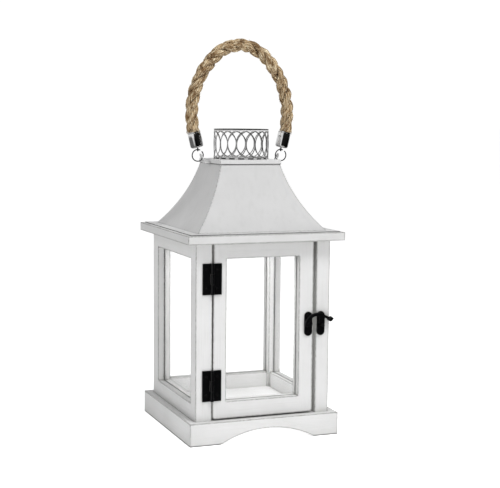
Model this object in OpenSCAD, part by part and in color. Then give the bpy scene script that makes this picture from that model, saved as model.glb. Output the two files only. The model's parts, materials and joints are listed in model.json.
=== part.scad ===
// Square wooden candle lantern with a glazed door, a sheet-metal pagoda roof,
// a pierced vent gallery and a rope handle. Origin: middle of the underside of
// the plinth, +Z up, the door faces -Y and +X is to the right of the door.

/* [Plinth] */
// Outer width and depth of the square plinth
plinth_w = 160; // [156:1:168]
// Height of the plinth boards
plinth_h = 23; // [20:0.5:30]
// Half width of the arch sawn under the front and back boards
arch_half = 50.4; // [40:0.1:60]
// Rise of the arch above the table
arch_h = 13; // [10:0.1:15]
// Sideways place of the crown of the arch
arch_x = 3; // [0:0.5:5]
// Thickness of the floor board
floor_t = 9; // [6:0.5:10]

/* [Body] */
// Outer width and depth of the glazed body
body_w = 144; // [140:1:148]
// Height of the body above the plinth
body_h = 178; // [150:1:220]
// Thickness of the wall rails
wall_t = 13; // [11:0.5:15]
// Width of the front left post
post_left_w = 17; // [15:0.5:18]
// Width of the front right post
post_right_w = 14.5; // [12:0.5:16]
// Depth of the two front posts
post_front_d = 15; // [14:0.5:17]
// Width of the two rear posts
post_rear_w = 15; // [14:0.5:18]
// Depth of the two rear posts
post_rear_d = 17; // [14:0.5:19]
// Height of the bottom rails
rail_low_h = 16; // [12:0.5:22]
// Height of the top rails
rail_top_h = 16; // [12:0.5:22]
// Thickness of the window glass
glass_t = 2; // [1.5:0.1:3]
// Distance of the glass behind the outer face of a wall
glass_inset = 7; // [5:0.5:8]

/* [Door] */
// Thickness of the door
door_t = 14; // [12:0.5:14]
// Gap between the hinge post and the door
door_gap_left = 1; // [0.8:0.1:2]
// Gap between the latch post and the door
door_gap_right = 3.5; // [2:0.1:4]
// Gap under the door
door_gap_low = 1.5; // [1:0.1:3]
// Gap between the door and the roof board
door_gap_top = 0.8; // [0.6:0.1:2]
// Width of the hinge stile of the door
door_stile_left_w = 14.2; // [12:0.1:18]
// Width of the latch stile of the door
door_stile_right_w = 15.5; // [12:0.1:18]
// Height of the bottom rail of the door
door_rail_low_h = 17; // [12:0.5:24]
// Height of the top rail of the door
door_rail_top_h = 15; // [12:0.5:24]

/* [Roof] */
// Width and depth of the roof board
board_w = 167; // [162:1:176]
// Thickness of the roof board
board_t = 8.5; // [6:0.5:12]
// Width of the flat flange of the metal roof
flange_w = 159; // [156:1:161]
// Width of the metal roof at its foot
roof_foot_w = 139.6; // [136:0.2:142]
// Width of the metal roof at its top
roof_top_w = 64.8; // [64:0.2:68]
// Height of the metal roof
roof_h = 67.2; // [60:0.2:75]
// Radius of the hollow curve of the roof sides
roof_curve_r = 160; // [140:5:220]
// Thickness of all sheet metal
sheet_t = 0.8; // [0.6:0.1:1]
// Height of the square collar on the roof
collar_h = 4.3; // [3.5:0.1:6]
// Diameter of the vent hole through the roof board
board_vent_d = 60; // [52:1:70]
// Diameter of the vent hole through the roof and its collar
vent_d = 50; // [44:1:54]

/* [Gallery] */
// Outer radius of the pierced gallery
gallery_r = 28.6; // [27.5:0.1:30]
// Height of the gallery
gallery_h = 31.1; // [26:0.1:36]
// Number of interlaced ovals around the gallery
gallery_cells = 18; // [14:1:20]
// Width of the bars of the lattice
bar_w = 1.1; // [1:0.1:1.6]
// Sideways place of the gallery on the collar
gallery_x = 1.5; // [0:0.5:2]

/* [Hinges and latch] */
// Height of a hinge
hinge_h = 31; // [28:1:36]
// Width of an opened hinge
hinge_w = 19.8; // [19:0.1:21]
// Thickness of hinge leaves and latch plates
leaf_t = 1.2; // [1:0.1:1.4]
// Radius of a hinge knuckle
knuckle_r = 1.9; // [1.8:0.05:2.2]
// Radius of a hinge pin
pin_r = 0.9; // [0.8:0.05:1]
// Heights of the undersides of the two hinges
hinge_z = [43, 150];
// Width of a latch plate
plate_w = 8.6; // [8:0.1:9]
// Height of a latch plate
plate_h = 24.8; // [23:0.1:26]
// Thickness of the latch arm
arm_t = 2.4; // [2:0.1:2.6]

/* [Handle] */
// Radius of the rope
rope_r = 6.7; // [6:0.1:7]
// Half width of the handle, on the middle line of the rope
handle_half = 52.9; // [52:0.1:54]
// Radius of the long side curves of the handle
handle_side_r = 81; // [77:0.5:86]
// Height at which the handle is widest
handle_mid_z = 328; // [326:0.5:332]
// Height of the middle line of the rope at the crown
handle_top_z = 398.3; // [396:0.1:400]
// Outer radius of a ferrule
ferrule_r = 6.8; // [6.6:0.1:7.2]
// Length of a ferrule
ferrule_l = 16.7; // [15:0.1:16.8]
// Radius of the middle line of a split ring
ring_r = 6; // [5.8:0.1:6.2]
// Radius of the wire of rings and eyes
wire_r = 0.6; // [0.5:0.05:0.65]

/* [Hidden] */
$fn = 48;
big_fn = 180;
overrun = 1;

// The plinth boards are fixed round the foot of the body, which reaches down
// to the underside of the floor board
plinth_t = (plinth_w - body_w) / 2;
wall_z = plinth_h - floor_t;
arch_toe_r = 8;

// Heights of the main levels
body_z = plinth_h;
board_z = body_z + body_h;
roof_z = board_z + board_t;
collar_z = roof_z + roof_h;
gallery_z = collar_z + collar_h;

// Planes of the body
half = body_w / 2;
front_y = -half;
inner_half = half - wall_t;
side_front_y = front_y + post_front_d;
side_rear_y = half - post_rear_d;
back_half = half - post_rear_w;
win_low_z = body_z + rail_low_h;
win_top_z = board_z - rail_top_h;

// Glass sits in grooves that are a little wider and deeper than the pane
groove_d = 4;
groove_play = 0.15;

// Door outline
door_x0 = -half + post_left_w + door_gap_left;
door_x1 = half - post_right_w - door_gap_right;
door_z0 = body_z + door_gap_low;
door_z1 = board_z - door_gap_top;
door_win_x0 = door_x0 + door_stile_left_w;
door_win_x1 = door_x1 - door_stile_right_w;
door_win_z0 = door_z0 + door_rail_low_h;
door_win_z1 = door_z1 - door_rail_top_h;

// Hinge axis
hinge_x = -55.2;
hinge_y = front_y - knuckle_r - 0.05;
knuckle_gap = 0.3;
pin_play = 0.06;
pin_fit = 0.02;

// Latch: pivot on the door stile, stud on the latch post
latch_z = 115.6;
latch_x = 48.6;
plate_y = front_y - leaf_t;
catch_x = 62.4;
stud_z = 114.5;
stud_l = 8;
stud_r = 1.25;
stud_bead_r = 1.6;
stud_in = 5;
arm_gap = 0.7;
arm_y = plate_y - arm_gap - arm_t;
arm_eye_r = 3.4;
pivot_r = 1.4;
pivot_play = 0.08;
pivot_head_r = 2.2;
pivot_head_t = 0.7;
claw_w = 6;
claw_h = 9;
claw_z = stud_z + 1.4;
claw_notch_r = 2;
knob_at = [72.3, 119.9];
knob_r = 2.8;
knob_tip = 3.6;
arm_tail = [70.4, 120.6];
arm_arc_c = [58.1, 112];
arm_arc_r = 13.3;
arm_w = 2.9;

// Small screws and brads
screw_r = 0.8;
screw_head_r = 1.6;
screw_head_t = 0.5;
screw_l = 8;
screw_play = 0.05;
brad_r = 0.5;
brad_head_r = 1.2;
brad_head_t = 0.4;
brad_l = 7;
brad_offset = 38;
rivet_r = 1;
rivet_head_r = 1.8;
rivet_head_t = 0.8;
rivet_hole_r = 1.05;

// Handle: the side curves are centred on the far side of the middle, the
// crown arc touches both, and each ferrule continues a side curve in a line
side_cx = handle_half - handle_side_r;
crown_rise = handle_top_z - handle_mid_z;
crown_r = (pow(handle_side_r, 2) - pow(side_cx, 2) - pow(crown_rise, 2)) / (2 * (handle_side_r - crown_rise));
crown_z = handle_top_z - crown_r;
crown_a = atan2(crown_z - handle_mid_z, -side_cx);
mouth_drop = 18.9;
ferrule_a = asin(mouth_drop / handle_side_r);
mouth_x = side_cx + handle_side_r * cos(ferrule_a);
mouth_z = handle_mid_z - handle_side_r * sin(ferrule_a);
eye_drop = 18.92;
eye_x = mouth_x - eye_drop * sin(ferrule_a);
eye_z = mouth_z - eye_drop * cos(ferrule_a);
ring_x = eye_x;
ring_z = eye_z - ring_r;

// Ears: a sheet tab that leaves under the collar and leans outwards
ear_w = 8;
ear_lean = 24;
ear_bend_x = 39.3;
ear_bend_z = collar_z + sheet_t / 2;
ear_hole_z = 281.4;
ear_hole_x = ear_bend_x + (ear_hole_z - ear_bend_z) * tan(ear_lean);
ear_hole_r = 2.2;
ear_top_z = 286.6;
ear_leg_x = 26;
rivet_x = 29;

// ---------------------------------------------------------------- helpers

// Box given by its lowest and highest corners
module block(a, b) {
  translate(a) cube([b[0] - a[0], b[1] - a[1], b[2] - a[2]]);
}

// Draws its children facing forwards (-Y) with their base on the plane y
module facing_front(x, y, z) {
  translate([x, y, z]) rotate([90, 0, 0]) children();
}

// Grooves of all three fixed panes, cut out of posts and rails
module pane_grooves() {
  for (s = [-1, 1]) {
    x = s * (half - glass_inset - glass_t / 2);
    w = glass_t / 2 + groove_play;
    block([x - w, side_front_y - groove_d, win_low_z - groove_d],
          [x + w, side_rear_y + groove_d, win_top_z + groove_d]);
  }
  y = half - glass_inset - glass_t / 2;
  d = glass_t / 2 + groove_play;
  block([-back_half - groove_d, y - d, win_low_z - groove_d],
        [back_half + groove_d, y + d, win_top_z + groove_d]);
}

// Groove of the door pane
module door_groove() {
  y = front_y + glass_inset + glass_t / 2;
  d = glass_t / 2 + groove_play;
  block([door_win_x0 - groove_d, y - d, door_win_z0 - groove_d],
        [door_win_x1 + groove_d, y + d, door_win_z1 + groove_d]);
}

// Repeats its children at the screw places of the two hinges, s = -1 frame, 1 door
module at_hinge_screws(s) {
  x = hinge_x + s * (hinge_w / 4 + 0.6);
  for (z0 = hinge_z, dz = [0.2, 0.8])
    facing_front(x, front_y, z0 + hinge_h * dz) children();
}

// Repeats its children at the two screw places of a latch plate
module at_plate_screws(x) {
  for (s = [-1, 1])
    facing_front(x, front_y, latch_z + s * (plate_h / 2 - 3.6)) children();
}

// Small pan-head screw, its seat at the height t above the wood
module screw(t) {
  translate([0, 0, t]) cylinder(r = screw_head_r, h = screw_head_t);
  translate([0, 0, t - screw_l]) cylinder(r = screw_r, h = screw_l);
}

// Hole for that screw through a plate and into the wood
module screw_hole() {
  translate([0, 0, -screw_l]) cylinder(r = screw_r + screw_play, h = screw_l + 2 * leaf_t);
}

// Repeats its children at the brads that hold the roof flange down
module at_brads() {
  d = (flange_w + roof_foot_w) / 4;
  for (a = [0 : 90 : 270], s = [-1, 1])
    rotate([0, 0, a]) translate([d, s * brad_offset, roof_z]) children();
}

// ----------------------------------------------------------------- plinth

// Air under the arch: one shallow arc, with the corners of the feet rounded
module arch_outline() {
  r = (pow(arch_half, 2) + pow(arch_h, 2)) / (2 * arch_h);
  centre_z = arch_h - r;
  toe_x = sqrt(pow(r + arch_toe_r, 2) - pow(arch_toe_r - centre_z, 2));
  touch = [toe_x, arch_toe_r - centre_z] * r / (r + arch_toe_r) + [0, centre_z];
  translate([arch_x, 0]) {
    intersection() {
      translate([0, centre_z]) circle(r, $fn = big_fn);
      translate([-touch[0], -overrun]) square([2 * touch[0], arch_h + 2 * overrun]);
    }
    for (s = [-1, 1]) scale([s, 1]) difference() {
      translate([touch[0] - 0.01, -overrun]) square([toe_x - touch[0] + 0.01, overrun + touch[1]]);
      translate([toe_x, arch_toe_r]) circle(arch_toe_r, $fn = big_fn);
    }
  }
}

module arched_board() {
  w = plinth_w / 2;
  difference() {
    block([-w, -w, 0], [w, -w + plinth_t, plinth_h]);
    translate([0, -w + plinth_t + overrun, 0]) rotate([90, 0, 0])
      linear_extrude(plinth_t + 2 * overrun) arch_outline();
  }
}

module side_board() {
  w = plinth_w / 2;
  block([-w, -w + plinth_t, 0], [-w + plinth_t, w - plinth_t, plinth_h]);
}

module plinth_front_board() { color("whitesmoke") arched_board(); }
module plinth_back_board() { color("whitesmoke") mirror([0, 1, 0]) arched_board(); }
module plinth_left_board() { color("gainsboro") side_board(); }
module plinth_right_board() { color("gainsboro") mirror([1, 0, 0]) side_board(); }

// Footprints of the four posts, all the way up
module post_blocks() {
  block([-half, front_y, wall_z], [-half + post_left_w, side_front_y, board_z]);
  block([half - post_right_w, front_y, wall_z], [half, side_front_y, board_z]);
  for (s = [-1, 1]) scale([s, 1, 1])
    block([back_half, side_rear_y, wall_z], [half, half, board_z]);
}

// Floor of the candle chamber, let in behind the front posts and the sill
module floor_board() {
  color("gainsboro") difference() {
    block([-inner_half, side_front_y, wall_z], [inner_half, inner_half, body_z]);
    post_blocks();
  }
}

// Bar under the door, between the two front posts and as deep as they are
module door_sill() {
  color("gainsboro")
    block([-half + post_left_w, front_y, wall_z], [half - post_right_w, side_front_y, body_z]);
}

// ------------------------------------------------------------------- body

module post_front_left() {
  color("whitesmoke") difference() {
    block([-half, front_y, wall_z], [-half + post_left_w, side_front_y, board_z]);
    pane_grooves();
    at_hinge_screws(-1) screw_hole();
  }
}

module post_front_right() {
  color("whitesmoke") difference() {
    block([half - post_right_w, front_y, wall_z], [half, side_front_y, board_z]);
    pane_grooves();
    at_plate_screws(catch_x) screw_hole();
    stud_hole();
  }
}

module post_rear(s) {
  color("whitesmoke") difference() {
    scale([s, 1, 1]) block([back_half, side_rear_y, wall_z], [half, half, board_z]);
    pane_grooves();
  }
}

module post_rear_left() { post_rear(-1); }
module post_rear_right() { post_rear(1); }

module side_rail(s, z0, z1) {
  color("white") difference() {
    scale([s, 1, 1]) block([inner_half, side_front_y, z0], [half, side_rear_y, z1]);
    pane_grooves();
  }
}

module rail_left_bottom() { side_rail(-1, wall_z, win_low_z); }
module rail_left_top() { side_rail(-1, win_top_z, board_z); }
module rail_right_bottom() { side_rail(1, wall_z, win_low_z); }
module rail_right_top() { side_rail(1, win_top_z, board_z); }

module back_rail(z0, z1) {
  color("white") difference() {
    block([-back_half, inner_half, z0], [back_half, half, z1]);
    pane_grooves();
  }
}

module rail_back_bottom() { back_rail(wall_z, win_low_z); }
module rail_back_top() { back_rail(win_top_z, board_z); }

// Pane edges stop a little short of the ends of their grooves
pane_reach = groove_d - 0.3;

module side_glass(s) {
  x = half - glass_inset;
  color("lightcyan", 0.4) scale([s, 1, 1])
    block([x - glass_t, side_front_y - pane_reach, win_low_z - pane_reach],
          [x, side_rear_y + pane_reach, win_top_z + pane_reach]);
}

module glass_left() { side_glass(-1); }
module glass_right() { side_glass(1); }

module glass_back() {
  y = half - glass_inset;
  color("lightcyan", 0.4)
    block([-back_half - pane_reach, y - glass_t, win_low_z - pane_reach],
          [back_half + pane_reach, y, win_top_z + pane_reach]);
}

// ------------------------------------------------------------------- roof

module roof_board() {
  w = board_w / 2;
  color("whitesmoke") difference() {
    block([-w, -w, board_z], [w, w, roof_z]);
    translate([0, 0, board_z - overrun]) cylinder(d = board_vent_d, h = board_t + 2 * overrun, $fn = 96);
    at_brads() translate([0, 0, -brad_l]) cylinder(r = brad_r + screw_play, h = brad_l + overrun, $fn = 24);
  }
}

// Side outline of the roof: a block whose flanks are scooped by large circles,
// drawn smaller all round by the distance inset and longer downwards by below
module roof_outline(inset, below) {
  foot = roof_foot_w / 2;
  top = roof_top_w / 2;
  chord = norm([foot - top, roof_h]);
  mid = [(foot + top) / 2, roof_h / 2];
  away = [roof_h, foot - top] / chord;
  centre = mid + away * sqrt(pow(roof_curve_r, 2) - pow(chord / 2, 2));
  difference() {
    translate([-foot, -below]) square([2 * foot, roof_h - inset + below]);
    for (s = [-1, 1])
      translate([s * centre[0], centre[1]]) circle(roof_curve_r + inset, $fn = big_fn);
  }
}

module roof_solid(inset, below) {
  intersection_for (a = [0, 90])
    rotate([0, 0, a]) rotate([90, 0, 0])
      linear_extrude(roof_foot_w + 2 * overrun, center = true) roof_outline(inset, below);
}

module roof_shell() {
  f = flange_w / 2;
  color("gainsboro") difference() {
    union() {
      translate([0, 0, roof_z]) roof_solid(0, 0);
      block([-f, -f, roof_z], [f, f, roof_z + sheet_t]);
    }
    translate([0, 0, roof_z]) roof_solid(sheet_t, overrun);
    translate([0, 0, collar_z - 2 * sheet_t]) cylinder(d = vent_d, h = 3 * sheet_t, $fn = 96);
    at_brads() cylinder(r = brad_r + screw_play, h = 3 * sheet_t, center = true, $fn = 24);
    rivet_holes();
  }
}

module roof_brads() {
  color("silver") at_brads() {
    translate([0, 0, sheet_t]) cylinder(r = brad_head_r, h = brad_head_t, $fn = 24);
    translate([0, 0, sheet_t - brad_l]) cylinder(r = brad_r, h = brad_l, $fn = 24);
  }
}

// Square tray turned upside down over the top of the roof
module roof_collar() {
  w = roof_top_w / 2 + sheet_t;
  notch = ear_w / 2 + 0.2;
  color("gainsboro") difference() {
    block([-w, -w, collar_z], [w, w, gallery_z]);
    block([-w + sheet_t, -w + sheet_t, collar_z - overrun], [w - sheet_t, w - sheet_t, gallery_z - sheet_t]);
    translate([0, 0, collar_z]) cylinder(d = vent_d, h = collar_h + overrun, $fn = 96);
    block([-w - overrun, -notch, collar_z - overrun], [w + overrun, notch, collar_z + sheet_t + 0.1]);
  }
}

// ---------------------------------------------------------------- gallery

gallery_inner_r = gallery_r - sheet_t;
rim_h = 2.3;
base_h = 1.6;
lattice_z0 = gallery_z + base_h;
lattice_z1 = gallery_z + gallery_h - rim_h;
lattice_mid = (lattice_z0 + lattice_z1) / 2;
lattice_half = (lattice_z1 - lattice_z0) / 2;
pitch = 2 * PI * gallery_r / gallery_cells;
oval_r = (pow(lattice_half, 2) + pow(pitch, 2)) / (2 * pitch);
oval_c = oval_r - pitch;

// Oval number k of the lattice, made narrower by inset on both flanks
module oval(k, inset) {
  translate([k * pitch, 0]) intersection_for (s = [-1, 1])
    translate([s * oval_c, 0]) circle(oval_r - inset, $fn = 96);
}

// Clear openings of one cell: the lens where two ovals cross, a kite above
// and below each touching point, and the small gaps beside the peaks
module cell_openings() {
  b = bar_w / 2;
  intersection() {
    oval(0, b);
    oval(1, b);
  }
  for (s = [-1, 1]) {
    difference() {
      intersection() {
        oval(0, b);
        translate([-pitch, s > 0 ? b : -lattice_half]) square([2 * pitch, lattice_half - b]);
      }
      oval(-1, -b);
      oval(1, -b);
    }
    difference() {
      translate([0, s > 0 ? 0 : -lattice_half]) square([pitch, lattice_half]);
      oval(0, -b);
      oval(1, -b);
    }
  }
}

module gallery_tube(r_in, z0, z1) {
  translate([0, 0, z0]) difference() {
    cylinder(r = gallery_r, h = z1 - z0, $fn = 96);
    translate([0, 0, -overrun]) cylinder(r = r_in, h = z1 - z0 + 2 * overrun, $fn = 96);
  }
}

module gallery_lattice() {
  color("white") translate([gallery_x, 0, 0]) difference() {
    gallery_tube(gallery_inner_r, lattice_z0, lattice_z1);
    for (k = [0 : gallery_cells - 1])
      rotate([0, 0, k * 360 / gallery_cells]) translate([gallery_inner_r - 3, 0, lattice_mid])
        rotate([90, 0, 90]) linear_extrude(6) cell_openings();
  }
}

module gallery_base_ring() {
  color("silver") translate([gallery_x, 0, 0])
    gallery_tube(gallery_inner_r - 0.6, gallery_z, lattice_z0);
}

module gallery_top_rim() {
  color("silver") translate([gallery_x, 0, 0])
    gallery_tube(gallery_inner_r - 0.2, lattice_z1, gallery_z + gallery_h);
}

// ------------------------------------------------------------------- ears

// Strip bent once, seen from the front: a flat leg and a leaning tab of length l
module ear_profile(l) {
  h = sheet_t / 2;
  mitre = h * tan((90 - ear_lean) / 2);
  tip = [l * sin(ear_lean), l * cos(ear_lean)];
  across = h * [cos(ear_lean), -sin(ear_lean)];
  leg = ear_leg_x - ear_bend_x;
  polygon([[leg, -h], [mitre, -h], tip + across, tip - across, [-mitre, h], [leg, h]]);
}

module ear(s) {
  straight = (ear_top_z - ear_bend_z) / cos(ear_lean) - ear_w / 2;
  hole_at = (ear_hole_z - ear_bend_z) / cos(ear_lean);
  color("silver") scale([s, 1, 1]) difference() {
    translate([ear_bend_x, 0, ear_bend_z]) union() {
      rotate([90, 0, 0]) linear_extrude(ear_w, center = true) ear_profile(straight);
      rotate([0, ear_lean, 0]) translate([0, 0, straight])
        rotate([0, 90, 0]) cylinder(d = ear_w, h = sheet_t, center = true);
    }
    translate([ear_bend_x, 0, ear_bend_z]) rotate([0, ear_lean, 0]) translate([0, 0, hole_at])
      rotate([0, 90, 0]) cylinder(r = ear_hole_r, h = 4 * sheet_t, center = true);
    translate([rivet_x, 0, collar_z - overrun]) cylinder(r = rivet_hole_r, h = 3 * overrun, $fn = 24);
  }
}

module ear_left() { ear(-1); }
module ear_right() { ear(1); }

module rivet_holes() {
  for (s = [-1, 1])
    translate([s * rivet_x, 0, collar_z - 2 * sheet_t]) cylinder(r = rivet_hole_r, h = 3 * sheet_t, $fn = 24);
}

module ear_rivets() {
  color("silver") for (s = [-1, 1]) translate([s * rivet_x, 0, collar_z]) {
    translate([0, 0, -sheet_t]) cylinder(r = rivet_r, h = 2 * sheet_t, $fn = 24);
    for (z = [sheet_t, -sheet_t - rivet_head_t])
      translate([0, 0, z]) cylinder(r = rivet_head_r, h = rivet_head_t, $fn = 24);
  }
}

// ----------------------------------------------------------------- hinges

// One leaf with its knuckles: s = -1 has the two outer knuckles, s = 1 the middle one
module hinge_leaf(s, bore_r) {
  third = hinge_h / 3;
  inner = knuckle_r + knuckle_gap;
  spans = s < 0 ? [[0, third - knuckle_gap], [2 * third + knuckle_gap, hinge_h]] : [[third, 2 * third]];
  difference() {
    union() {
      scale([s, 1, 1])
        block([inner, front_y - leaf_t, 0], [hinge_w / 2, front_y, hinge_h]);
      for (q = spans) {
        translate([0, hinge_y, q[0]]) cylinder(r = knuckle_r, h = q[1] - q[0]);
        scale([s, 1, 1]) block([0, front_y - leaf_t, q[0]], [inner + overrun, front_y, q[1]]);
      }
    }
    translate([0, hinge_y, -overrun]) cylinder(r = bore_r, h = hinge_h + 2 * overrun);
  }
}

module hinge_frame_leaves() {
  color("black") difference() {
    for (z = hinge_z) translate([hinge_x, 0, z]) hinge_leaf(-1, pin_r + pin_fit);
    at_hinge_screws(-1) screw_hole();
  }
}

module hinge_door_leaves() {
  color("black") difference() {
    for (z = hinge_z) translate([hinge_x, 0, z]) hinge_leaf(1, pin_r + pin_play);
    at_hinge_screws(1) screw_hole();
  }
}

module hinge_pins() {
  color("black") for (z = hinge_z)
    translate([hinge_x, hinge_y, z]) cylinder(r = pin_r, h = hinge_h);
}

module hinge_frame_screws() { color("black") at_hinge_screws(-1) screw(leaf_t); }
module hinge_door_screws() { color("black") at_hinge_screws(1) screw(leaf_t); }

// ------------------------------------------------------------------- door

module door_stile_left() {
  color("whitesmoke") difference() {
    block([door_x0, front_y, door_z0], [door_win_x0, front_y + door_t, door_z1]);
    door_groove();
    at_hinge_screws(1) screw_hole();
  }
}

module door_stile_right() {
  color("whitesmoke") difference() {
    block([door_win_x1, front_y, door_z0], [door_x1, front_y + door_t, door_z1]);
    door_groove();
    at_plate_screws(latch_x) screw_hole();
    facing_front(latch_x, front_y, latch_z)
      translate([0, 0, -screw_l]) cylinder(r = pivot_r + screw_play, h = screw_l + overrun);
  }
}

module door_rail(z0, z1) {
  color("white") difference() {
    block([door_win_x0, front_y, z0], [door_win_x1, front_y + door_t, z1]);
    door_groove();
  }
}

module door_rail_bottom() { door_rail(door_z0, door_win_z0); }
module door_rail_top() { door_rail(door_win_z1, door_z1); }

module door_glass() {
  y = front_y + glass_inset;
  color("lightcyan", 0.4)
    block([door_win_x0 - pane_reach, y, door_win_z0 - pane_reach],
          [door_win_x1 + pane_reach, y + glass_t, door_win_z1 + pane_reach]);
}

// ------------------------------------------------------------------ latch

// Thin plate with round ends, screwed to the wood
module round_ended_plate(x, hole_z, hole_r) {
  e = (plate_h - plate_w) / 2;
  difference() {
    facing_front(x, front_y, latch_z) {
      for (s = [-1, 1]) translate([0, s * e, 0]) cylinder(d = plate_w, h = leaf_t);
      translate([-plate_w / 2, -e, 0]) cube([plate_w, 2 * e, leaf_t]);
    }
    at_plate_screws(x) screw_hole();
    facing_front(x, front_y, hole_z)
      translate([0, 0, -overrun]) cylinder(r = hole_r, h = leaf_t + 2 * overrun);
  }
}

module latch_plate() { color("black") round_ended_plate(latch_x, latch_z, pivot_r + screw_play); }
module catch_plate() { color("black") round_ended_plate(catch_x, stud_z, stud_r + screw_play); }
module latch_screws() { color("black") at_plate_screws(latch_x) screw(leaf_t); }
module catch_screws() { color("black") at_plate_screws(catch_x) screw(leaf_t); }

module stud_hole() {
  facing_front(catch_x, front_y, stud_z)
    translate([0, 0, -stud_in]) cylinder(r = stud_r + screw_play, h = stud_in + overrun);
}

module catch_stud() {
  color("black") facing_front(catch_x, front_y, stud_z) {
    translate([0, 0, -stud_in]) cylinder(r = stud_r, h = stud_in + leaf_t + stud_l - stud_bead_r);
    translate([0, 0, leaf_t + stud_l - stud_bead_r]) sphere(stud_bead_r);
  }
}

module latch_pivot() {
  head_z = front_y - arm_y + 0.3;
  color("black") facing_front(latch_x, front_y, latch_z) {
    translate([0, 0, -screw_l + overrun]) cylinder(r = pivot_r, h = screw_l - overrun + head_z);
    translate([0, 0, head_z]) cylinder(r = pivot_head_r, h = pivot_head_t);
  }
}

// Straight bar between two points of a flat outline
module bar(a, b, w) {
  d = b - a;
  translate(a) rotate(atan2(d[1], d[0])) translate([0, -w / 2]) square([norm(d), w]);
  for (p = [a, b]) translate(p) circle(d = w);
}

// Outline of the arm seen from the front: an eye, an arch over the catch,
// a claw that drops over the stud and a tail that carries the knob
module arm_outline() {
  arc_end = 62;
  reach = 25;
  joint = arm_arc_c + arm_arc_r * [cos(arc_end), sin(arc_end)];
  difference() {
    union() {
      translate([latch_x, latch_z]) circle(arm_eye_r);
      intersection() {
        difference() {
          translate(arm_arc_c) circle(arm_arc_r + arm_w / 2, $fn = 96);
          translate(arm_arc_c) circle(arm_arc_r - arm_w / 2, $fn = 96);
        }
        translate(arm_arc_c)
          polygon([[0, 0], reach * [cos(arc_end), sin(arc_end)], [0, reach], [-reach, reach], [-reach, 9]]);
      }
      bar(joint, arm_tail, arm_w * 0.9);
      bar(arm_tail, knob_at, arm_w * 0.7);
      translate([catch_x - claw_w / 2, claw_z]) square([claw_w, claw_h]);
    }
    translate([latch_x, latch_z]) circle(pivot_r + pivot_play);
    translate([catch_x, stud_z]) circle(claw_notch_r);
  }
}

module latch_arm() {
  color("black") difference() {
    translate([0, arm_y + arm_t, 0]) rotate([90, 0, 0]) linear_extrude(arm_t) arm_outline();
    knob_shape();
  }
}

// Ball with a short pointed tip, on the end of the arm
module knob_shape() {
  translate([knob_at[0], arm_y + arm_t / 2, knob_at[1]]) {
    sphere(knob_r);
    rotate([0, 90, 0]) cylinder(r1 = 0.8 * knob_r, r2 = 0.2 * knob_r, h = knob_tip);
  }
}

module latch_knob() { color("black") knob_shape(); }

// ----------------------------------------------------------------- handle

// Split ring seen from the front, its opening at the upper right
module split_ring(x) {
  gap_from = 45;
  gap = 20;
  color("silver") translate([x, 0, ring_z]) rotate([90, 0, 0]) rotate([0, 0, gap_from + gap])
    rotate_extrude(angle = 360 - gap, $fn = 72) translate([ring_r, 0]) circle(wire_r, $fn = 24);
}

module ring_left() { split_ring(-ring_x); }
module ring_right() { split_ring(ring_x); }

// Places its children at a ferrule's mouth, with +Z along the rope
module at_mouth(s) {
  scale([s, 1, 1]) translate([mouth_x, 0, mouth_z]) rotate([0, ferrule_a, 0]) children();
}

// Metal cup with a rounded closed end
module ferrule(s) {
  edge = 2.4;
  wall = 0.8;
  color("lightgray") at_mouth(s) rotate_extrude($fn = 72) difference() {
    union() {
      translate([0, -ferrule_l]) square([ferrule_r - edge, ferrule_l]);
      translate([0, -ferrule_l + edge]) square([ferrule_r, ferrule_l - edge]);
      translate([ferrule_r - edge, -ferrule_l + edge]) circle(edge);
    }
    translate([0, -ferrule_l + 2]) square([ferrule_r - wall, ferrule_l]);
    translate([0, -ferrule_l - overrun]) square([wire_r + 0.05, ferrule_l]);
  }
}

module ferrule_left() { ferrule(-1); }
module ferrule_right() { ferrule(1); }

// Wire eyes that hang the ferrules on the rings
module ferrule_eyes() {
  eye_r = 1.5;
  stem_in = 2.4;
  color("silver") for (s = [-1, 1]) {
    scale([s, 1, 1]) translate([eye_x, 0, eye_z]) rotate([0, 90, 0])
      rotate_extrude($fn = 48) translate([eye_r, 0]) circle(wire_r * 0.9, $fn = 24);
    at_mouth(s) translate([0, 0, -eye_drop + eye_r])
      cylinder(r = wire_r, h = eye_drop - eye_r - ferrule_l + stem_in);
  }
}

// Part of a ring in the XZ plane, from the angle a0 to a1, round in section
module rope_arc(c, r, a0, a1) {
  translate([c[0], 0, c[1]]) rotate([90, 0, 0]) rotate([0, 0, a0])
    rotate_extrude(angle = a1 - a0, $fn = 180) translate([r, 0]) circle(rope_r, $fn = 36);
}

// Core that joins two lengths of rope inside the middle of both
module rope_joint(c, r, a) {
  translate([c[0], 0, c[1]]) rotate([0, -a, 0]) translate([r, 0, 0])
    cylinder(r = rope_r - 1, h = 4, center = true);
}

module rope_handle() {
  plug_r = ferrule_r - 0.9;
  plug_l = 13;
  color("tan") {
    rope_arc([0, crown_z], crown_r, crown_a, 180 - crown_a);
    for (s = [-1, 1]) {
      scale([s, 1, 1]) rope_arc([side_cx, handle_mid_z], handle_side_r, -ferrule_a, crown_a);
      scale([s, 1, 1]) rope_joint([0, crown_z], crown_r, crown_a);
      at_mouth(s) translate([0, 0, -plug_l]) cylinder(r = plug_r, h = plug_l + 0.5);
    }
  }
}

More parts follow.
